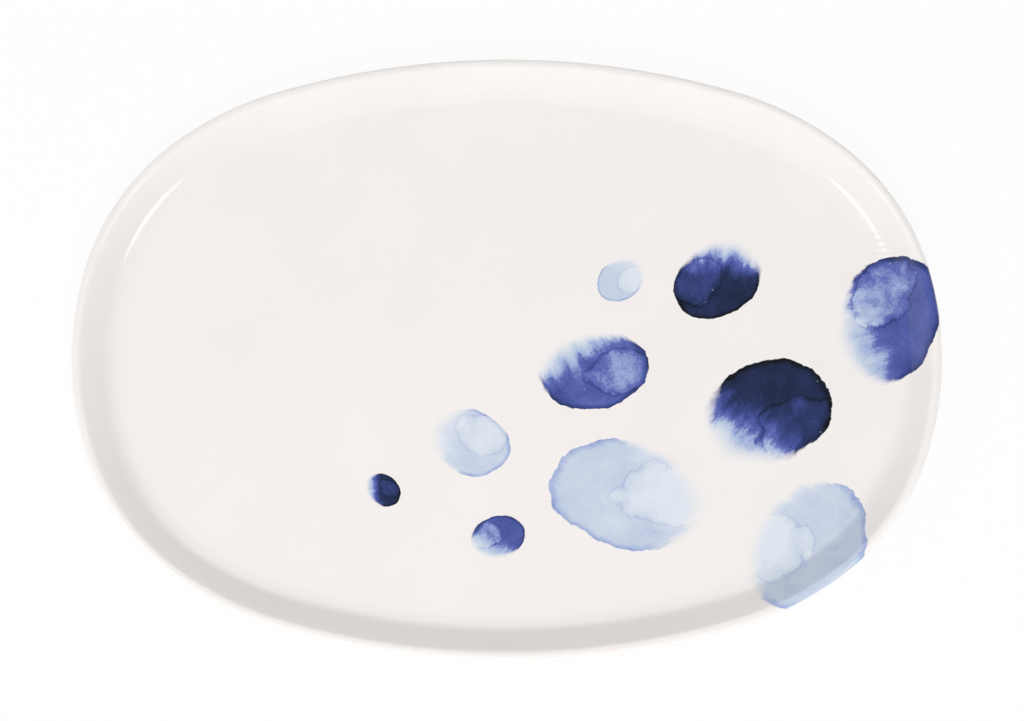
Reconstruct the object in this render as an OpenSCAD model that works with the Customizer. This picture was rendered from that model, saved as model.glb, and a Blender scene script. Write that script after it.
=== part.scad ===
// Oval coupe platter: a fired china body on a foot ring, two coats of glaze, and a print of watercolour dabs.
// The plan is an oval of twelve tangent arcs. One section runs round it, and a flat slab closes the middle.
// With the values below it is 360 mm long, 249 mm wide and 21 mm high.
// +Z is up, X runs along the length, and the foot ring stands on z = 0 about the origin.

/* [Plan oval] */
// Radius of the two end arcs
end_r = 132; // [128:1:136]
// Radius of the four corner arcs, next to the ends
corner_r = 100; // [97:1:103]
// Radius of the four shoulder arcs, next to the long sides
shoulder_r = 136; // [131:1:141]
// Radius of the two long side arcs
side_r = 340; // [333:1:347]

/* [Section] */
// Thickness of the plate with its glaze, which is also the thickness of the round lip
plate_t = 4.5; // [4:0.5:5]
// Radius of the cove between floor and wall, on the eating side
cove_r = 9.5; // [8:0.5:12]
// Straight run of the wall between the cove and the lip
wall_l = 11; // [9:0.5:12]
// Height of the foot ring under the floor
foot_h = 3; // [2:0.5:4]
// Distance from the outline to the foot ring
foot_inset = 24; // [23:0.5:25]
// Width of the foot ring where it joins the floor
foot_root_w = 5; // [4:0.5:6]
// Width of the edge that the foot ring stands on
foot_edge_w = 3; // [2.5:0.5:3.5]

/* [Glaze] */
// Thickness of the glaze
glaze_t = 0.3; // [0.2:0.05:0.4]
// Height of the bare band at the bottom of the foot ring
bare_h = 1; // [0.5:0.1:1.5]

/* [Print] */
// Thickness of the printed films
film_t = 0.1; // [0.05:0.05:0.2]

/* [Hidden] */
$fn = 96;

// Directions from the arc centres to the points where the arcs meet: unit vectors with exact decimals
u_end = [0.96, 0.28];
u_corner = [0.6, 0.8];
u_side = [0.28, 0.96];

// Centres of the arcs in the first quarter: two neighbours are in line with the point where their arcs meet
end_to_corner = (end_r - corner_r) * u_end;
corner_to_shoulder = (corner_r - shoulder_r) * u_corner;
shoulder_to_side = (shoulder_r - side_r) * u_side;
end_c = [-(end_to_corner + corner_to_shoulder + shoulder_to_side)[0], 0];
corner_c = end_c + end_to_corner;
shoulder_c = corner_c + corner_to_shoulder;
side_c = shoulder_c + shoulder_to_side;

// Section points in the plane of the rim: x = 0 is the outline and x grows outwards, z = 0 is the table
lip_r = plate_t / 2;
bend_r = cove_r + lip_r;
u_wall = u_corner;
u_bend = [u_wall[1], -u_wall[0]];
wall = wall_l * u_wall;
floor_z = foot_h + plate_t;
bend_c = [-lip_r - bend_r * u_bend[0] - wall[0], floor_z + cove_r];
lip_c = bend_c + bend_r * u_bend + wall;
foot_draft = (foot_root_w - foot_edge_w) / 2;

// The corners of the middle slab lie this far in from the outline, just inside the foot ring,
// and the section runs in a little further than the middle of the slab's longest edge
slab_inset = foot_inset + foot_root_w + 2;
slab_lap = 1;
run = slab_inset + (side_r - slab_inset) * (1 - u_side[1]) + slab_lap;

// Sizes of the cutting shapes, well clear of what they cut
cut = 40;
reach = 500;

function flip(p, m) = [p[0] * m[0], p[1] * m[1]];
function arc(c, r, from, to, m) = [flip(c, m), r, flip(from, m), flip(to, m)];

// Each arc is its centre, its radius and the directions of its two ends
end_arcs = [for (s = [1, -1]) arc(end_c, end_r, [u_end[0], -u_end[1]], u_end, [s, 1])];
side_arcs = [for (s = [1, -1]) arc(side_c, side_r, [-u_side[0], u_side[1]], u_side, [1, s])];
quarters = [[1, 1], [-1, 1], [-1, -1], [1, -1]];
corner_arcs = [for (m = quarters) arc(corner_c, corner_r, u_end, u_corner, m)];
shoulder_arcs = [for (m = quarters) arc(shoulder_c, shoulder_r, u_corner, u_side, m)];
all_arcs = concat(end_arcs, corner_arcs, shoulder_arcs, side_arcs);

// The part of a ring of the children that lies between the two ends of one arc
module sector(a) {
    intersection() {
        translate(a[0]) rotate_extrude() translate([a[1], 0]) children();
        translate([0, 0, -cut / 4]) linear_extrude(cut)
            polygon([a[0], a[0] + reach * a[2], a[0] + reach * (a[2] + a[3]), a[0] + reach * a[3]]);
    }
}

// The children, a section in the plane of the rim, carried round the given arcs
module round_rim(arcs) {
    for (a = arcs) sector(a) children();
}

// Flat slab that closes the middle between two heights
module middle_slab(z0, z1) {
    inset_end = end_c + (end_r - slab_inset) * u_end;
    inset_corner = corner_c + (corner_r - slab_inset) * u_corner;
    inset_side = shoulder_c + (shoulder_r - slab_inset) * u_side;
    quarter = [inset_end, inset_corner, inset_side];
    mirrored = [inset_side, inset_corner, inset_end];
    translate([0, 0, z0]) linear_extrude(z1 - z0)
        polygon([
            for (p = quarter) p,
            for (p = mirrored) flip(p, [-1, 1]),
            for (p = quarter) flip(p, [-1, -1]),
            for (p = mirrored) flip(p, [1, -1])
        ]);
}

// Band between two radii about the bend, from the floor round the cove and up the straight wall
module wall_band(r_in, r_out) {
    intersection() {
        translate(bend_c) difference() {
            circle(r_out);
            circle(r_in);
        }
        polygon([bend_c, bend_c + [0, -cut], bend_c + [cut, -cut], bend_c + cut * u_bend]);
    }
    wall_in = bend_c + r_in * u_bend;
    wall_out = bend_c + r_out * u_bend;
    polygon([wall_in, wall_out, wall_out + wall, wall_in + wall]);
}

// The half of the lip's round that lies beyond the end of the wall
module beyond_wall() {
    intersection() {
        children();
        polygon([
            lip_c - cut * u_bend,
            lip_c + cut * u_bend,
            lip_c + cut * (u_wall + u_bend),
            lip_c + cut * (u_wall - u_bend)
        ]);
    }
}

// Section of the plate without its foot, set in by g from the glazed surface
module plate_section(g) {
    wall_band(cove_r + g, cove_r + plate_t - g);
    beyond_wall() translate(lip_c) circle(lip_r - g);
    translate([-run, foot_h + g]) square([run + bend_c[0], plate_t - 2 * g]);
}

// Section of the foot ring, widened by g on both sides and cut off at the height z0
module foot_section(g, z0) {
    root = foot_h + glaze_t;
    slope = foot_draft / foot_h;
    low = foot_draft - slope * z0;
    high = -slope * glaze_t;
    polygon([
        [-foot_inset - low + g, z0],
        [-foot_inset - high + g, root],
        [-foot_inset - foot_root_w + high - g, root],
        [-foot_inset - foot_root_w + low - g, z0]
    ]);
}

// The half of the section outside the middle of the foot ring
module outside_foot() {
    intersection() {
        children();
        translate([-foot_inset - foot_root_w / 2, -cut]) square(2 * cut);
    }
}

// The half of the section inside the middle of the foot ring
module inside_foot() {
    intersection() {
        children();
        translate([-foot_inset - foot_root_w / 2 - 2 * cut, -cut]) square(2 * cut);
    }
}

// Section of the skin of glaze under the floor and down the sides of the foot ring to the bare band
module under_skin() {
    difference() {
        union() {
            translate([-run, foot_h]) square([run + bend_c[0], glaze_t]);
            foot_section(glaze_t, bare_h);
        }
        foot_section(0, 0);
    }
}

// Section of the film on the eating side, from the floor up the wall to the widest line of the lip
module film_section() {
    wall_band(cove_r - film_t, cove_r);
    intersection() {
        beyond_wall() translate(lip_c) difference() {
            circle(lip_r + film_t);
            circle(lip_r);
        }
        translate([lip_c[0] - cut, lip_c[1]]) square([2 * cut, cut]);
    }
    translate([-run, floor_z]) square([run + bend_c[0], film_t]);
}

// Pebble outline of four tangent arcs, which meet in the direction u_corner from their centres
module pebble(l, w) {
    spread = (l - w) / 2 / (u_corner[0] + u_corner[1] - 1);
    end_radius = w / 2 - (1 - u_corner[1]) * spread;
    side_radius = end_radius + spread;
    join_x = u_corner[0] * side_radius;
    side_y = u_corner[1] * spread;
    intersection() {
        translate([0, side_y]) circle(side_radius);
        translate([0, -side_y]) circle(side_radius);
        square([2 * join_x, 2 * w], center = true);
    }
    for (s = [1, -1]) intersection() {
        translate([s * u_corner[0] * spread, 0]) circle(end_radius);
        translate([s * (join_x + l), 0]) square([2 * l, 2 * w], center = true);
    }
}

// Film of a dab on the flat floor
module floor_dab(at, l, w, turn) {
    translate([at[0], at[1], floor_z]) rotate(turn) linear_extrude(film_t) pebble(l, w);
}

// Film of a dab that runs from the floor up the wall and over the lip, across the given arcs
module rim_dab(at, l, w, turn, arcs) {
    intersection() {
        union() {
            round_rim(arcs) film_section();
            middle_slab(floor_z, floor_z + film_t);
        }
        translate(at) rotate(turn) linear_extrude(cut) pebble(l, w);
    }
}

china = "#f3eee6";
glaze = "#f6f3ef";
navy = "#1a2450";
indigo = "#46559f";
pale = "#b7c9e2";

// The fired body: floor, cove, lip and foot ring in one piece
module china_body() color(china) {
    round_rim(all_arcs) {
        plate_section(glaze_t);
        foot_section(0, 0);
    }
    middle_slab(foot_h + glaze_t, floor_z - glaze_t);
}

// Glaze on the face, over the lip and down the outside to the foot ring's bare band
module outer_glaze() color(glaze) {
    round_rim(all_arcs) {
        difference() {
            plate_section(0);
            plate_section(glaze_t);
            translate([-run, 0]) square([run + bend_c[0], foot_h + plate_t / 2]);
        }
        outside_foot() under_skin();
    }
    middle_slab(floor_z - glaze_t, floor_z);
}

// Glaze under the floor, inside the foot ring
module base_glaze() color(glaze) {
    round_rim(all_arcs) inside_foot() under_skin();
    middle_slab(foot_h, foot_h + glaze_t);
}

// The dabs of the print, drifting in from the right-hand end
module rim_indigo_dab() color(indigo)
    rim_dab(at = [158, 16], l = 62, w = 46, turn = 70, arcs = [end_arcs[0], corner_arcs[0]]);
module rim_pale_dab() color(pale)
    rim_dab(at = [124, -76], l = 66, w = 50, turn = 48, arcs = [corner_arcs[3], shoulder_arcs[3]]);
module large_navy_dab() color(navy) floor_dab(at = [108, -22], l = 64, w = 48, turn = 20);
module large_pale_dab() color(pale) floor_dab(at = [52, -56], l = 78, w = 50, turn = -12);
module middle_navy_dab() color(navy) floor_dab(at = [88, 34], l = 44, w = 34, turn = 35);
module middle_indigo_dab() color(indigo) floor_dab(at = [36, -4], l = 52, w = 36, turn = 8);
module middle_pale_dab() color(pale) floor_dab(at = [-16, -34], l = 40, w = 30, turn = -20);
module small_indigo_dab() color(indigo) floor_dab(at = [-4, -74], l = 26, w = 20, turn = 15);
module small_pale_dab() color(pale) floor_dab(at = [48, 34], l = 24, w = 19, turn = 40);
module small_navy_dab() color(navy) floor_dab(at = [-52, -54], l = 18, w = 14, turn = -30);

china_body();
outer_glaze();
base_glaze();
rim_indigo_dab();
rim_pale_dab();
large_navy_dab();
large_pale_dab();
middle_navy_dab();
middle_indigo_dab();
middle_pale_dab();
small_indigo_dab();
small_pale_dab();
small_navy_dab();
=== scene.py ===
import math

import bmesh
import bpy
from mathutils import Matrix, Vector


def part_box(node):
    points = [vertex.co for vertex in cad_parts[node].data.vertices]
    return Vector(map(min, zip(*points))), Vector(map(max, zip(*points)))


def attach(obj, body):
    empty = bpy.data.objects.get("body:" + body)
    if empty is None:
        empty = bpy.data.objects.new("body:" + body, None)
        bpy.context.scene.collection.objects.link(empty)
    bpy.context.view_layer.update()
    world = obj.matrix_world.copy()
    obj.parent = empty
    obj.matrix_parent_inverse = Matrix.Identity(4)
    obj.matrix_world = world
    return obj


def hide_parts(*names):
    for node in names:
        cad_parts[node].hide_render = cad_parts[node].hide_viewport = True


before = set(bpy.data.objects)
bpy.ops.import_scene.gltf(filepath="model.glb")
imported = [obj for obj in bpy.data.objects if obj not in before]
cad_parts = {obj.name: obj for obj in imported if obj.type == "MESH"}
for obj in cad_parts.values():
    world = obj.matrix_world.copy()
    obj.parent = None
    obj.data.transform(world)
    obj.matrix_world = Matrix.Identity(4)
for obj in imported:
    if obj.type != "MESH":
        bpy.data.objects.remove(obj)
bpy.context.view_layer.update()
mm = 0.001

# heights that the pieces share, read from the frame
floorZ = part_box("large_navy_dab")[0].z                 # the eating surface
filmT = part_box("large_navy_dab")[1].z - floorZ
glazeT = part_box("outer_glaze")[1].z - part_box("china_body")[1].z
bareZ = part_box("base_glaze")[0].z                       # end of the glaze on the foot
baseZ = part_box("base_glaze")[1].z - glazeT              # the glazed underside
rootZ = baseZ + glazeT                                  # the china under that glaze
print("frame: floor %.2f, underside %.2f, glaze %.2f, film %.2f mm" % tuple(
    v / mm for v in (floorZ, baseZ, glazeT, filmT)))


# Camera: almost straight down with a long lens, as the photograph is taken
cameraView = {
    "elevation": 89,             # degrees above the table
    "distance": 1.6,             # metres from the lip's plane
    "sensor": 36,                # millimetres
    "pixel": 0.4137 * mm,        # size of a pixel at the lip
    "offset": (5.2, -0.9),       # pixels from the platter's middle to the picture's middle
    "size": (1024, 721),
}


def makeCamera(view, lipZ):
    tilt = math.radians(view["elevation"])
    back = Vector((0, -math.cos(tilt), math.sin(tilt)))
    up = Vector((0, math.sin(tilt), math.cos(tilt)))
    aim = Vector((view["offset"][0] * view["pixel"], 0, lipZ)) + up * view["offset"][1] * view["pixel"]
    data = bpy.data.cameras.new("camera")
    data.sensor_width = view["sensor"]
    data.lens = data.sensor_width * view["distance"] / (view["size"][0] * view["pixel"])
    camera = bpy.data.objects.new("camera", data)
    turn = back.to_track_quat("Z", "Y").to_matrix().to_4x4()
    camera.matrix_world = Matrix.Translation(aim + back * view["distance"]) @ turn
    bpy.context.scene.collection.objects.link(camera)
    bpy.context.scene.camera = camera
    print("camera: lens %.0f mm" % data.lens)


# Plan: the oval's arcs, round from the right-hand end, as in the solids
ovalPlan = {
    "endR": 132 * mm,
    "cornerR": 100 * mm,
    "shoulderR": 136 * mm,
    "sideR": 340 * mm,
    "joins": ((0.96, 0.28), (0.6, 0.8), (0.28, 0.96)),   # directions in which neighbouring arcs meet
    "ringStep": 2.5 * mm,        # spacing of the rings along the outline
    "weld": 0.01 * mm,           # joins the mirrored quarters
}


def ovalArcs(plan):
    radii = [plan["endR"], plan["cornerR"], plan["shoulderR"], plan["sideR"]]
    centres = [Vector((0, 0, 0))]
    for i, join in enumerate(plan["joins"]):
        centres.append(centres[-1] + (radii[i] - radii[i + 1]) * Vector((*join, 0)))
    for centre in centres[:3]:
        centre.x -= centres[3].x
    centres[3].x = 0
    turns = [math.atan2(y, x) for x, y in plan["joins"]]
    half = math.pi / 2
    sweeps = [turns[0], turns[1] - turns[0], turns[2] - turns[1], half - turns[2]]
    arcs = []
    start = 0
    for sx, sy, order in ((1, 1, 1), (-1, 1, -1), (-1, -1, 1), (1, -1, -1)):
        for centre, radius, sweep in list(zip(centres, radii, sweeps))[::order]:
            arcs.append((Vector((centre.x * sx, centre.y * sy, 0)), radius, start, sweep))
            start += sweep
    return arcs                  # four to a quarter: the end and side arcs are in halves


# Section: drawn in the XZ plane with x = 0 at the outline, then spun round the oval
section = {
    "lipR": 2.25 * mm,
    "coveR": 9.5 * mm,
    "lean": math.atan2(0.8, 0.6),   # slope of the wall
    "wall": 11 * mm,             # straight run of the wall from the cove to the lip
    "flat": 12 * mm,             # run of the floor beside the cove that has closer rings
    "footInset": 24 * mm,
    "footRoot": 5 * mm,
    "footEdge": 3 * mm,
    "footRound": 0.7 * mm,       # rounding of the standing edge
    "footFillet": 1.2 * mm,      # pooled glaze where the foot meets the underside
    "filletSweep": math.radians(72),   # turn of that fillet
    "middle": 52 * mm,           # the section runs in this far
    "middleRings": (14 * mm, 14 * mm, 12 * mm),   # and flat rings close the middle
    "faceSteps": 18,             # steps of an arc on the face and the outside
    "innerSteps": 12,            # of one between glaze and china
    "innerLipSteps": 8,
    "footSteps": 6,              # of the glaze's small rounds at the foot
    "edgeSteps": 5,              # of the standing edge
}
bendR = section["coveR"] + section["lipR"]
wallRun = section["wall"] * math.cos(section["lean"])
wallRise = section["wall"] * math.sin(section["lean"])
lipX = -section["lipR"]
bendX = lipX - wallRun - bendR * math.sin(section["lean"])
bendZ = floorZ + section["coveR"]
lipZ = bendZ - bendR * math.cos(section["lean"]) + wallRise
footSlope = (section["footRoot"] - section["footEdge"]) / 2 / baseZ


def drawStart(bm, x, z):
    return bmesh.ops.create_vert(bm, co=(x, 0, z))["vert"][0]


def drawLine(bm, vert, x, z, steps=1):
    stride = (Vector((x, 0, z)) - vert.co) / steps
    for step in range(steps):
        vert = bmesh.ops.extrude_vert_indiv(bm, verts=[vert])["verts"][0]
        vert.co += stride
    return vert


def drawArc(bm, vert, x, z, angle, steps):
    made = bmesh.ops.spin(bm, geom=[vert], cent=(x, 0, z), axis=(0, -1, 0), angle=angle, steps=steps)
    return [g for g in made["geom_last"] if isinstance(g, bmesh.types.BMVert)][0]


def drawWall(bm, vert, way, steps):
    # the straight wall: way 1 climbs it, -1 comes down
    return drawLine(bm, vert, vert.co.x + way * wallRun, vert.co.z + way * wallRise, steps)


def drawFace(bm, vert, inset, steps, lipSweep=math.pi):
    # floor, cove, wall and over the lip, set in by inset from the glazed face
    vert = drawLine(bm, vert, bendX - section["flat"], floorZ - inset, 2)
    vert = drawLine(bm, vert, bendX, floorZ - inset, 4)
    vert = drawArc(bm, vert, bendX, bendZ, section["lean"], steps)
    vert = drawWall(bm, vert, 1, steps // 3)
    return drawArc(bm, vert, lipX, lipZ, -lipSweep, steps)


def drawOutside(bm, vert, steps):
    # down the outside of the wall and round the bend to the underside
    vert = drawWall(bm, vert, -1, steps // 3)
    return drawArc(bm, vert, bendX, bendZ, -section["lean"], steps)


def footX(z, side):
    # face of the unglazed foot at a height: side 1 is the outer face, -1 the inner
    middle = -section["footInset"] - section["footRoot"] / 2
    return middle + side * (section["footRoot"] / 2 - footSlope * (baseZ - z))


def spinRound(bm, arcs):
    # carries the drawn section round the given arcs
    centre, radius, start, sweep = arcs[0]
    place = Matrix.Translation(centre) @ Matrix.Rotation(start, 4, "Z")
    bmesh.ops.transform(bm, matrix=place @ Matrix.Translation((radius, 0, 0)), verts=bm.verts)
    last = bm.verts[:] + bm.edges[:]
    for centre, radius, start, sweep in arcs:
        steps = max(3, round(radius * sweep / ovalPlan["ringStep"]))
        spun = bmesh.ops.spin(bm, geom=last, cent=centre, axis=(0, 0, 1), angle=sweep, steps=steps)
        last = spun["geom_last"]


def spinWhole(bm):
    # a quarter, mirrored across both middles, with the flat middles closed by rings and a hub
    spinRound(bm, ovalArcs(ovalPlan)[:4])
    for axis in ("X", "Y"):
        everything = bm.verts[:] + bm.edges[:] + bm.faces[:]
        bmesh.ops.mirror(bm, geom=everything, axis=axis, merge_dist=ovalPlan["weld"])
    rims = [e for e in bm.edges if e.is_boundary]
    discs = bmesh.ops.holes_fill(bm, edges=rims, sides=0)["faces"]
    for width in section["middleRings"]:
        bmesh.ops.inset_region(bm, faces=discs, thickness=width, use_even_offset=True)
    bmesh.ops.poke(bm, faces=discs)
    bmesh.ops.recalc_face_normals(bm, faces=bm.faces)


sharpFrom = math.radians(40)     # edges that turn more than this stay crisp


def finishPiece(bm, name, nodeName, material):
    mesh = bpy.data.meshes.new(name)
    bm.to_mesh(mesh)
    bm.free()
    mesh.shade_smooth()
    mesh.set_sharp_from_angle(angle=sharpFrom)
    mesh.materials.append(material)
    piece = bpy.data.objects.new(name, mesh)
    bpy.context.scene.collection.objects.link(piece)
    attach(piece, "root")
    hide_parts(nodeName)
    print("%s: %d faces" % (name, len(mesh.polygons)))


# Materials
def linear(hexColour):
    parts = [int(hexColour[i:i + 2], 16) / 255 for i in (1, 3, 5)]
    return [c / 12.92 if c <= 0.04045 else ((c + 0.055) / 1.055) ** 2.4 for c in parts] + [1]


def addNode(tree, kind, inputs=None, **settings):
    node = tree.nodes.new(kind)
    for key, value in settings.items():
        setattr(node, key, value)
    for key, value in (inputs or {}).items():
        if isinstance(value, bpy.types.NodeSocket):
            tree.links.new(value, node.inputs[key])
        else:
            node.inputs[key].default_value = value
    return node


def setStops(ramp, stops):
    ends = ramp.color_ramp.elements
    ends[0].color = stops[0][1]
    ends[1].color = stops[-1][1]
    for position, colour in stops[1:-1]:
        ends.new(position).color = colour


def greys(stops):
    return [(position, (level, level, level, 1)) for position, level in stops]


def newMaterial(name):
    material = bpy.data.materials.new(name)
    material.use_nodes = True
    tree = material.node_tree
    tree.nodes.clear()
    shader = addNode(tree, "ShaderNodeBsdfPrincipled")
    addNode(tree, "ShaderNodeOutputMaterial", {"Surface": shader.outputs["BSDF"]})
    place = addNode(tree, "ShaderNodeTexCoord").outputs["Object"]
    return material, tree, shader, place


# Clear gloss glaze on white china: a deep wet shine, a faint ripple, and a white that isn't quite even
glazeLook = {
    "white": "#F5F1EF",
    "shade": "#F1ECE9",          # where the coat is thicker
    "cloud": 45 * mm,            # size of the uneven patches
    "ripple": 2.8 * mm,          # spacing of the faint lines that the shaping left along the length
    "rippleHeight": 0.012 * mm,
    "rippleStretch": (0.06, 1, 0),   # draws their wander out along the length
    "rippleWander": 3,           # how far they wander
    "rippleDetail": 0.4,         # scale of the finer wander
    "ridges": (155 * mm, 47 * mm, 0),   # middle of a small patch at the right where the lines are deeper
    "ridgesReach": 15 * mm,
    "ridgesBy": 8,
    "wave": 30 * mm,             # slow unevenness of the fired surface
    "waveHeight": 0.01 * mm,
    "roughness": 0.07,
    "ior": 1.5,
}


def glazeColour(tree, place, look):
    cloud = addNode(tree, "ShaderNodeTexNoise", {"Vector": place, "Scale": 1 / look["cloud"], "Detail": 3})
    return addNode(tree, "ShaderNodeMix", {
        "Factor": cloud.outputs["Fac"], "A": linear(look["white"]), "B": linear(look["shade"])},
        data_type="RGBA").outputs["Result"]


def glazeLines(tree, place, look):
    # faint lines, deeper in the patch of ridges; the wave pattern repeats every tau / 20
    stretch = addNode(tree, "ShaderNodeMapping", {"Vector": place, "Scale": look["rippleStretch"]})
    ripple = addNode(tree, "ShaderNodeTexWave", {
        "Vector": stretch.outputs["Vector"], "Scale": math.tau / 20 / look["ripple"],
        "Distortion": look["rippleWander"], "Detail": 2, "Detail Scale": look["rippleDetail"]},
        bands_direction="Y")
    flat = addNode(tree, "ShaderNodeVectorMath", {0: place, 1: (1, 1, 0)}, operation="MULTIPLY")
    away = addNode(tree, "ShaderNodeVectorMath", {
        0: flat.outputs["Vector"], 1: look["ridges"]}, operation="DISTANCE")
    deeper = addNode(tree, "ShaderNodeMapRange", {
        "Value": away.outputs["Value"], "From Max": look["ridgesReach"],
        "To Min": look["ridgesBy"], "To Max": 1}, interpolation_type="SMOOTHSTEP")
    return addNode(tree, "ShaderNodeMath", {
        0: ripple.outputs["Fac"], 1: deeper.outputs[0]}, operation="MULTIPLY").outputs[0]


def glazeSurface(tree, shader, place, look):
    wave = addNode(tree, "ShaderNodeTexNoise", {"Vector": place, "Scale": 1 / look["wave"], "Detail": 1})
    low = addNode(tree, "ShaderNodeBump", {
        "Height": wave.outputs["Fac"], "Distance": look["waveHeight"], "Strength": 1})
    fine = addNode(tree, "ShaderNodeBump", {
        "Height": glazeLines(tree, place, look), "Distance": look["rippleHeight"], "Strength": 1,
        "Normal": low.outputs["Normal"]})
    tree.links.new(fine.outputs["Normal"], shader.inputs["Normal"])
    shader.inputs["Roughness"].default_value = look["roughness"]
    shader.inputs["IOR"].default_value = look["ior"]


def makeGlaze(look):
    material, tree, shader, place = newMaterial("glossGlazeOnChina")
    tree.links.new(glazeColour(tree, place, look), shader.inputs["Base Color"])
    glazeSurface(tree, shader, place, look)
    return material


# Bare fired china, seen only on the standing edge: matte and a little warm, with fine grit
bareChina = {
    "light": "#EFE8DC",
    "dark": "#D9CFC0",
    "grit": 0.6 * mm,
    "gritHeight": 0.02 * mm,
    "roughness": 0.75,
}


def makeBareChina(look):
    material, tree, shader, place = newMaterial("bareFiredChina")
    grit = addNode(tree, "ShaderNodeTexNoise", {"Vector": place, "Scale": 1 / look["grit"], "Detail": 4})
    tint = addNode(tree, "ShaderNodeMix", {
        "Factor": grit.outputs["Fac"], "A": linear(look["light"]), "B": linear(look["dark"])},
        data_type="RGBA")
    bump = addNode(tree, "ShaderNodeBump", {
        "Height": grit.outputs["Fac"], "Distance": look["gritHeight"], "Strength": 1})
    tree.links.new(tint.outputs["Result"], shader.inputs["Base Color"])
    tree.links.new(bump.outputs["Normal"], shader.inputs["Normal"])
    shader.inputs["Roughness"].default_value = look["roughness"]
    return material


# Body and glaze
def makeOuterGlaze(glaze):
    bm = bmesh.new()
    fillet = section["footFillet"]
    filletX = footX(baseZ, 1) + glazeT + fillet
    outer = drawStart(bm, -section["middle"], floorZ)
    outer = drawFace(bm, outer, 0, section["faceSteps"])
    outer = drawOutside(bm, outer, section["faceSteps"])
    outer = drawLine(bm, outer, filletX, baseZ)
    outer = drawArc(bm, outer, filletX, baseZ - fillet, section["filletSweep"], section["footSteps"])
    outer = drawLine(bm, outer, footX(bareZ, 1) + glazeT, bareZ)
    outer = drawArc(bm, outer, footX(bareZ, 1) + glazeT / 2, bareZ, -math.pi, section["footSteps"])
    outer = drawLine(bm, outer, footX(rootZ, 1), rootZ)
    outer = drawLine(bm, outer, bendX, rootZ)
    outer = drawArc(bm, outer, bendX, bendZ, section["lean"], section["innerSteps"])
    outer = drawWall(bm, outer, 1, 2)
    outer = drawArc(bm, outer, lipX, lipZ, math.pi, section["innerLipSteps"])
    outer = drawWall(bm, outer, -1, 2)
    outer = drawArc(bm, outer, bendX, bendZ, -section["lean"], section["innerSteps"])
    drawLine(bm, outer, -section["middle"], floorZ - glazeT)
    spinWhole(bm)
    finishPiece(bm, "outerGlaze", "outer_glaze", glaze)


def makeBaseGlaze(glaze):
    bm = bmesh.new()
    fillet = section["footFillet"]
    filletX = footX(baseZ, -1) - glazeT - fillet
    under = drawStart(bm, -section["middle"], baseZ)
    under = drawLine(bm, under, filletX, baseZ, 3)
    under = drawArc(bm, under, filletX, baseZ - fillet, -section["filletSweep"], section["footSteps"])
    under = drawLine(bm, under, footX(bareZ, -1) - glazeT, bareZ)
    under = drawArc(bm, under, footX(bareZ, -1) - glazeT / 2, bareZ, math.pi, section["footSteps"])
    under = drawLine(bm, under, footX(rootZ, -1), rootZ)
    drawLine(bm, under, -section["middle"], rootZ)
    spinWhole(bm)
    finishPiece(bm, "baseGlaze", "base_glaze", glaze)


def makeChinaBody(bare):
    bm = bmesh.new()
    edge = section["footRound"]
    body = drawStart(bm, -section["middle"], floorZ - glazeT)
    body = drawFace(bm, body, glazeT, section["innerSteps"])
    body = drawOutside(bm, body, section["innerSteps"])
    body = drawLine(bm, body, footX(rootZ, 1), rootZ)
    body = drawLine(bm, body, footX(edge, 1), edge)
    body = drawArc(bm, body, footX(edge, 1) - edge, edge, -math.pi / 2, section["edgeSteps"])
    body = drawLine(bm, body, footX(edge, -1) + edge, 0)
    body = drawArc(bm, body, footX(edge, -1) + edge, edge, -math.pi / 2, section["edgeSteps"])
    body = drawLine(bm, body, footX(rootZ, -1), rootZ)
    drawLine(bm, body, -section["middle"], rootZ)
    spinWhole(bm)
    finishPiece(bm, "chinaBody", "china_body", bare)


# Print: dabs of watercolour that drift in from the right-hand end, in millimetres and degrees.
# flow is the way the wet colour runs, bloom where a drop of clean water has pushed it aside,
# and arcs the stretches of the outline that a dab on the wall crosses
dabs = {
    "rimIndigoDab": {
        "node": "rim_indigo_dab", "tone": "indigo", "at": (158, 16), "size": (62, 46), "turn": 70,
        "flow": 200, "bloom": (0.35, 0.25), "arcs": (15, 0, 1)},
    "rimPaleDab": {
        "node": "rim_pale_dab", "tone": "pale", "at": (124, -76), "size": (66, 50), "turn": 48,
        "flow": 150, "bloom": (-0.3, 0.3), "arcs": (13, 14)},
    "largeNavyDab": {
        "node": "large_navy_dab", "tone": "navy", "at": (108, -22), "size": (64, 48), "turn": 20,
        "flow": 235, "bloom": (0.3, -0.4)},
    "largePaleDab": {
        "node": "large_pale_dab", "tone": "pale", "at": (52, -56), "size": (78, 50), "turn": -12,
        "flow": 20, "bloom": (0.35, 0.1)},
    "middleNavyDab": {
        "node": "middle_navy_dab", "tone": "navy", "at": (88, 34), "size": (44, 34), "turn": 35,
        "flow": 80, "bloom": (-0.4, 0.2)},
    "middleIndigoDab": {
        "node": "middle_indigo_dab", "tone": "indigo", "at": (36, -4), "size": (52, 36), "turn": 8,
        "flow": 120, "bloom": (0.4, -0.1)},
    "middlePaleDab": {
        "node": "middle_pale_dab", "tone": "pale", "at": (-16, -34), "size": (40, 30), "turn": -20,
        "flow": 170, "bloom": (0.2, 0.3)},
    "smallIndigoDab": {
        "node": "small_indigo_dab", "tone": "indigo", "at": (-4, -74), "size": (26, 20), "turn": 15,
        "flow": 250, "bloom": (-0.3, 0.2)},
    "smallPaleDab": {
        "node": "small_pale_dab", "tone": "pale", "at": (48, 34), "size": (24, 19), "turn": 40,
        "flow": 60, "bloom": (0.2, -0.3)},
    "smallNavyDab": {
        "node": "small_navy_dab", "tone": "navy", "at": (-52, -54), "size": (18, 14), "turn": -30,
        "flow": 190, "bloom": (0.3, 0.3)},
}

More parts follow.
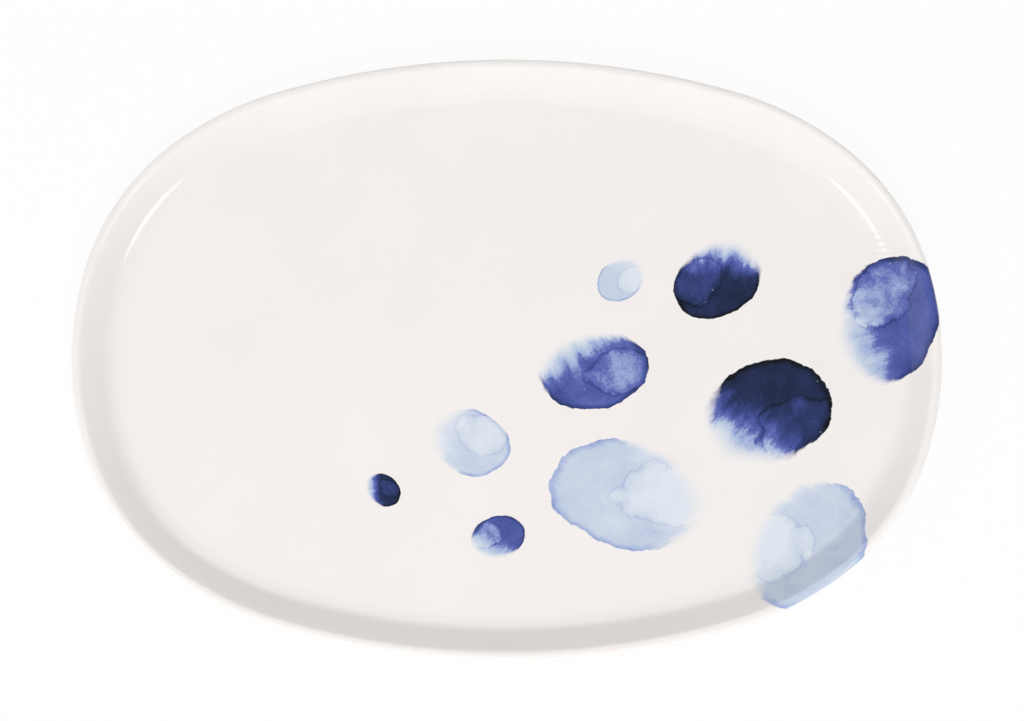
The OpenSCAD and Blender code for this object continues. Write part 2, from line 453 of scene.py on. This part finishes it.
# Watercolour fired on the glaze: it dries dark along its edge, bleeds away down its flow
# and lies in fine grains
paint = {
    "wash": (
        (0, "#DFE5EE"), (0.24, "#C1CDE1"), (0.37, "#9FAED8"), (0.47, "#5F6CB4"), (0.62, "#434F93"),
        (0.77, "#2B3661"), (0.88, "#212A47"), (1, "#12171F")),
    "depth": {"navy": 0.84, "indigo": 0.56, "pale": 0.2},   # place in the wash
    "edge": 0.9,                 # where the colour ends, as a share of the film
    "wander": 16 * mm,           # slow waves of the edge
    "wanderBy": 0.24,
    "rag": 2.6 * mm,             # fine raggedness of the edge
    "ragBy": 0.07,
    "fingers": 7 * mm,           # width of the bleeding streaks
    "fingersBy": 1.1,
    "fingersRun": 0.35,          # draws them out along the flow
    "fingersRough": 0.66,
    "bleed": (-0.1, 0.8),        # where along the flow the colour starts and ends to thin out
    "thinning": 0.78,            # how much of its depth it loses there
    "softEdge": (0.012, 0.4),    # softness of the edge, dry and wet
    "rimDark": 0.16,             # extra depth along the dry edge
    "rimBand": (0.13, 0.01),     # how far inside the edge that starts and is full
    "cloud": 11 * mm,            # uneven pools
    "cloudBy": 0.34,
    "cloudTwist": 0.6,
    "bloomSize": 0.55,
    "bloomBy": 0.6,              # how far its edge wanders
    # lighter inside, dark at its edge, and the last level leaves the colour as it is
    "bloomStops": ((0, 0.36), (0.6, 0.38), (0.85, 0.44), (0.95, 0.6), (1, 0.5)),
    "grain": 0.8 * mm,           # settled pigment
    "grainBy": 0.14,
    "holes": 5 * mm,             # spacing of the pinholes, most of which lie above or below the film
    "holeSize": 0.28 * mm,
}


def paintPlace(tree, place, dab, turn, scale):
    # coordinates from the dab's middle, turned and measured in the given lengths
    at = (dab["at"][0] * mm, dab["at"][1] * mm, 0)
    return addNode(tree, "ShaderNodeMapping", {
        "Vector": place, "Location": at, "Rotation": (0, 0, math.radians(turn)), "Scale": scale},
        vector_type="TEXTURE").outputs[0]


def paintReach(tree, place, film, look, number):
    # distance from the dab's middle, with an uneven edge
    reach = addNode(tree, "ShaderNodeVectorMath", {0: film}, operation="LENGTH").outputs["Value"]
    for size, by, detail in ((look["wander"], look["wanderBy"], 2), (look["rag"], look["ragBy"], 4)):
        waves = addNode(tree, "ShaderNodeTexNoise", {
            "Vector": place, "W": number, "Scale": 1 / size, "Detail": detail}, noise_dimensions="4D")
        reach = addNode(tree, "ShaderNodeMath", {
            0: waves.outputs["Fac"], 1: by, 2: reach}, operation="MULTIPLY_ADD").outputs[0]
    return reach


def paintWet(tree, stream, span, look, number):
    # wetness along the flow, in streaks: 0 is dry
    lanes = addNode(tree, "ShaderNodeMapping", {"Vector": stream, "Scale": (look["fingersRun"], 1, 1)})
    fingers = addNode(tree, "ShaderNodeTexNoise", {
        "Vector": lanes.outputs[0], "W": number, "Scale": span / look["fingers"], "Detail": 8,
        "Roughness": look["fingersRough"]}, noise_dimensions="4D")
    along = addNode(tree, "ShaderNodeSeparateXYZ", {0: stream}).outputs["X"]
    along = addNode(tree, "ShaderNodeMath", {
        0: fingers.outputs["Fac"], 1: look["fingersBy"], 2: along}, operation="MULTIPLY_ADD").outputs[0]
    start, end = (point + look["fingersBy"] / 2 for point in look["bleed"])
    return addNode(tree, "ShaderNodeMapRange", {
        "Value": along, "From Min": start, "From Max": end}, interpolation_type="SMOOTHSTEP").outputs[0]


def paintCover(tree, place, reach, edge, wet, look):
    # 1 where the colour covers the glaze: its edge is softer where it is wet, and it has pinholes
    dryEdge, wetEdge = (edge - soft for soft in look["softEdge"])
    full = addNode(tree, "ShaderNodeMapRange", {"Value": wet, "To Min": dryEdge, "To Max": wetEdge})
    cover = addNode(tree, "ShaderNodeMapRange", {
        "Value": reach, "From Min": edge, "From Max": full.outputs[0]}, interpolation_type="SMOOTHSTEP")
    holes = addNode(tree, "ShaderNodeTexVoronoi", {"Vector": place, "Scale": 1 / look["holes"]})
    whole = addNode(tree, "ShaderNodeMapRange", {
        "Value": holes.outputs["Distance"], "From Max": look["holeSize"] / look["holes"]})
    return addNode(tree, "ShaderNodeMath", {
        0: cover.outputs[0], 1: whole.outputs[0]}, operation="MULTIPLY").outputs[0]


def paintRim(tree, reach, edge, wet, look):
    # the dark line along the dry edge
    start, full = (edge - inside for inside in look["rimBand"])
    rim = addNode(tree, "ShaderNodeMapRange", {
        "Value": reach, "From Min": start, "From Max": full, "To Max": look["rimDark"]},
        interpolation_type="SMOOTHSTEP")
    dry = addNode(tree, "ShaderNodeMath", {0: 1, 1: wet}, operation="SUBTRACT")
    return addNode(tree, "ShaderNodeMath", {
        0: rim.outputs[0], 1: dry.outputs[0]}, operation="MULTIPLY").outputs[0]


def paintBloom(tree, film, cloud, dab, look):
    # what the drop of clean water adds to the depth and takes from it
    away = addNode(tree, "ShaderNodeVectorMath", {0: film, 1: (*dab["bloom"], 0)}, operation="DISTANCE")
    away = addNode(tree, "ShaderNodeMath", {
        0: cloud, 1: look["bloomBy"], 2: away.outputs["Value"]}, operation="MULTIPLY_ADD")
    ring = addNode(tree, "ShaderNodeMapRange", {
        "Value": away.outputs[0], "From Min": look["bloomBy"] / 2,
        "From Max": look["bloomSize"] + look["bloomBy"] / 2})
    bloom = addNode(tree, "ShaderNodeValToRGB", {"Fac": ring.outputs[0]})
    setStops(bloom, greys(look["bloomStops"]))
    return addNode(tree, "ShaderNodeMath", {
        0: bloom.outputs["Color"], 1: look["bloomStops"][-1][1]}, operation="SUBTRACT").outputs[0]


def paintDepth(tree, place, cloud, wet, dab, look):
    # depth of colour, with its pools and grain, less where it has bled away
    grain = addNode(tree, "ShaderNodeTexNoise", {"Vector": place, "Scale": 1 / look["grain"], "Detail": 2})
    depth = look["depth"][dab["tone"]]
    mean = (look["cloudBy"] + look["grainBy"]) / 2     # what pools and grain add on average
    deep = addNode(tree, "ShaderNodeMapRange", {
        "Value": wet, "To Min": depth - mean, "To Max": depth * (1 - look["thinning"]) - mean}).outputs[0]
    for layer, by in ((cloud, look["cloudBy"]), (grain.outputs["Fac"], look["grainBy"])):
        deep = addNode(tree, "ShaderNodeMath", {
            0: layer, 1: by, 2: deep}, operation="MULTIPLY_ADD").outputs[0]
    return deep


def makePaint(name, dab, look, number):
    material, tree, shader, place = newMaterial("watercolour" + name[0].upper() + name[1:])
    half = [s * mm / 2 for s in dab["size"]]
    span = math.sqrt(half[0] * half[1])
    film = paintPlace(tree, place, dab, dab["turn"], (half[0], half[1], 1))
    stream = paintPlace(tree, place, dab, dab["flow"], (span, span, span))
    # pools, half a step on from the noise of the edge so that the two differ
    cloud = addNode(tree, "ShaderNodeTexNoise", {
        "Vector": place, "W": number + 0.5, "Scale": 1 / look["cloud"], "Detail": 5,
        "Distortion": look["cloudTwist"]}, noise_dimensions="4D").outputs["Fac"]
    reach = paintReach(tree, place, film, look, number)
    edge = look["edge"] + (look["wanderBy"] + look["ragBy"]) / 2
    wet = paintWet(tree, stream, span, look, number)
    deep = paintDepth(tree, place, cloud, wet, dab, look)
    for part in (paintRim(tree, reach, edge, wet, look), paintBloom(tree, film, cloud, dab, look)):
        deep = addNode(tree, "ShaderNodeMath", {0: deep, 1: part}, operation="ADD").outputs[0]
    wash = addNode(tree, "ShaderNodeValToRGB", {"Fac": deep})
    setStops(wash, [(depth, linear(colour)) for depth, colour in look["wash"]])
    mixed = addNode(tree, "ShaderNodeMix", {
        "Factor": paintCover(tree, place, reach, edge, wet, look),
        "A": glazeColour(tree, place, glazeLook), "B": wash.outputs["Color"]}, data_type="RGBA")
    tree.links.new(mixed.outputs["Result"], shader.inputs["Base Color"])
    glazeSurface(tree, shader, place, glazeLook)
    return material


# Film: the thin solid of each dab, a sheet cut to its outline
filmSheet = {
    "join": (0.6, 0.8),          # direction in which the outline's end and side arcs meet
    "cuts": 72,                  # planes round the outline
    "snap": 0.0001 * mm,         # points this close to a plane lie on it
    "stripFrom": 60 * mm,        # a sheet that climbs the wall starts this far in from the oval
    "squares": 12,               # squares across a sheet on the floor
}


def trimFilm(bm, dab, sheet):
    # planes all round touch an oval of four arcs, as the film's solid has
    turn = math.radians(dab["turn"])
    endX, sideY = sheet["join"]
    spread = (dab["size"][0] - dab["size"][1]) / 2 / (endX + sideY - 1)
    endR = dab["size"][1] / 2 - (1 - sideY) * spread
    middle = Vector((*dab["at"], 0)) * mm
    for cut in range(sheet["cuts"]):
        t = math.tau * cut / sheet["cuts"]
        if abs(math.sin(t)) <= sideY:
            reach = endR + endX * spread * abs(math.cos(t))
        else:
            reach = endR + spread - sideY * spread * abs(math.sin(t))
        way = Vector((math.cos(t + turn), math.sin(t + turn), 0))
        bmesh.ops.bisect_plane(
            bm, geom=bm.verts[:] + bm.edges[:] + bm.faces[:], dist=sheet["snap"],
            plane_co=middle + way * reach * mm, plane_no=way, clear_outer=True)


def makeDab(name, dab, number):
    bm = bmesh.new()
    if "arcs" in dab:            # a strip of the face, from the floor over the lip to its widest line
        vert = drawStart(bm, -filmSheet["stripFrom"], floorZ + filmT)
        drawFace(bm, vert, -filmT, section["faceSteps"], math.pi / 2 + section["lean"])
        arcs = ovalArcs(ovalPlan)
        spinRound(bm, [arcs[i] for i in dab["arcs"]])
    else:                        # a piece of the flat floor
        place = Matrix.Translation((dab["at"][0] * mm, dab["at"][1] * mm, floorZ + filmT))
        across = filmSheet["squares"]
        reach = dab["size"][0] * mm
        bmesh.ops.create_grid(bm, x_segments=across, y_segments=across, size=reach, matrix=place)
    trimFilm(bm, dab, filmSheet)
    bmesh.ops.recalc_face_normals(bm, faces=bm.faces)
    if sum(f.normal.z for f in bm.faces) < 0:
        bmesh.ops.reverse_faces(bm, faces=bm.faces)
    bmesh.ops.solidify(bm, geom=bm.faces[:], thickness=filmT)
    bmesh.ops.recalc_face_normals(bm, faces=bm.faces)
    material = makePaint(name, dab, paint, number)
    finishPiece(bm, name, dab["node"], material)


makeCamera(cameraView, lipZ)
glaze = makeGlaze(glazeLook)
makeOuterGlaze(glaze)
makeBaseGlaze(glaze)
makeChinaBody(makeBareChina(bareChina))
for number, (name, dab) in enumerate(dabs.items()):
    makeDab(name, dab, number)


# Studio: a pale floor, a surround that is brightest near the floor, a soft lamp in front
# and a weak one at the left, and white panels in front, behind and at both front corners
# that only the gloss mirrors
studio = {
    "light": (1.15, 0.59),       # surround as it lights the object, near the floor and above
    "lowTo": (0.1, 0.3),         # where the low part fades out, as the sine of the height
    # surround as it is seen and mirrored, from the floor up
    "seen": ((0, 1), (0.03, 1), (0.1, 0.3), (0.3, 0.11), (1, 0.11)),
    "lampsAt": 3,                # distance of the lamps from the platter
    "lamps": {                   # turn from +X and height above the table in degrees, size in metres
        "front": {"turn": -92, "height": 60, "size": (1.6, 1.6), "power": 41, "panel": False},
        "left": {"turn": 180, "height": 45, "size": (1.6, 1.6), "power": 8, "panel": False},
        "frontPanel": {"turn": -90, "height": 18, "size": (5.2, 1), "power": 6.2, "panel": True},
        "backPanel": {"turn": 90, "height": 43, "size": (5.2, 2.6), "power": 38, "panel": True},
        "rightPanel": {"turn": -37, "height": 31, "size": (1.44, 1.3), "power": 18, "panel": True},
        "leftPanel": {"turn": -141, "height": 31, "size": (1.32, 1.3), "power": 13.5, "panel": True},
    },
    "floorColour": "#F4F4F4",
    "floorReach": 30,            # metres from the middle to the floor's edge
    "floorGap": 0.1 * mm,        # keeps the floor clear of the standing edge
    "floorWhite": 0.92,          # share of plain white in the floor as it is seen; the rest takes the shadow
}


def seenRays(tree):
    # 1 for what the camera sees straight, in a mirror or through glass
    path = addNode(tree, "ShaderNodeLightPath").outputs
    seen = path["Is Camera Ray"]
    for other in ("Is Glossy Ray", "Is Transmission Ray"):
        seen = addNode(tree, "ShaderNodeMath", {0: seen, 1: path[other]}, operation="MAXIMUM").outputs[0]
    return seen


def makeSurround(look):
    world = bpy.data.worlds.new("surround")
    bpy.context.scene.world = world
    world.use_nodes = True
    tree = world.node_tree
    tree.nodes.clear()
    way = addNode(tree, "ShaderNodeTexCoord").outputs["Generated"]
    height = addNode(tree, "ShaderNodeSeparateXYZ", {0: way}).outputs["Z"]
    light = addNode(tree, "ShaderNodeMapRange", {
        "Value": height, "From Min": look["lowTo"][0], "From Max": look["lowTo"][1],
        "To Min": look["light"][0], "To Max": look["light"][1]}, interpolation_type="SMOOTHSTEP")
    seen = addNode(tree, "ShaderNodeValToRGB", {"Fac": height})
    seen.color_ramp.interpolation = "EASE"
    setStops(seen, greys(look["seen"]))
    level = addNode(tree, "ShaderNodeMapRange", {
        "Value": seenRays(tree), "To Min": light.outputs[0], "To Max": seen.outputs["Color"]})
    back = addNode(tree, "ShaderNodeBackground", {"Color": (1, 1, 1, 1), "Strength": level.outputs[0]})
    addNode(tree, "ShaderNodeOutputWorld", {"Surface": back.outputs[0]})


def makeLamps(look):
    for name, lamp in look["lamps"].items():
        data = bpy.data.lights.new(name, "AREA")
        data.shape = "ELLIPSE"
        data.size, data.size_y = lamp["size"]
        data.energy = lamp["power"]
        light = bpy.data.objects.new(name, data)
        turn = Matrix.Rotation(math.radians(lamp["turn"]), 3, "Z")
        rise = Matrix.Rotation(math.radians(-lamp["height"]), 3, "Y")
        light.location = turn @ rise @ Vector((look["lampsAt"], 0, 0))
        light.rotation_euler = light.location.to_track_quat("Z", "Y").to_euler()
        light.visible_glossy = lamp["panel"]
        light.visible_diffuse = not lamp["panel"]
        bpy.context.scene.collection.objects.link(light)


def makePaleFloor(look):
    material = bpy.data.materials.new("paleFloor")
    material.use_nodes = True
    tree = material.node_tree
    tree.nodes.clear()
    share = addNode(tree, "ShaderNodeMath", {
        0: seenRays(tree), 1: look["floorWhite"]}, operation="MULTIPLY")
    matte = addNode(tree, "ShaderNodeBsdfDiffuse", {"Color": linear(look["floorColour"])})
    white = addNode(tree, "ShaderNodeEmission", {"Color": (1, 1, 1, 1), "Strength": 1})
    mixed = addNode(tree, "ShaderNodeMixShader", {
        0: share.outputs[0], 1: matte.outputs[0], 2: white.outputs[0]})
    addNode(tree, "ShaderNodeOutputMaterial", {"Surface": mixed.outputs[0]})
    return material


def makeFloor(look):
    bm = bmesh.new()
    sunk = Matrix.Translation((0, 0, -look["floorGap"]))
    bmesh.ops.create_grid(bm, x_segments=1, y_segments=1, size=look["floorReach"], matrix=sunk)
    mesh = bpy.data.meshes.new("floor")
    bm.to_mesh(mesh)
    bm.free()
    floor = bpy.data.objects.new("floor", mesh)
    bpy.context.scene.collection.objects.link(floor)
    mesh.materials.append(makePaleFloor(look))


bpy.context.scene.view_settings.view_transform = "Standard"
makeSurround(studio)
makeLamps(studio)
makeFloor(studio)
print("studio: floor and %d lamps" % len(studio["lamps"]))
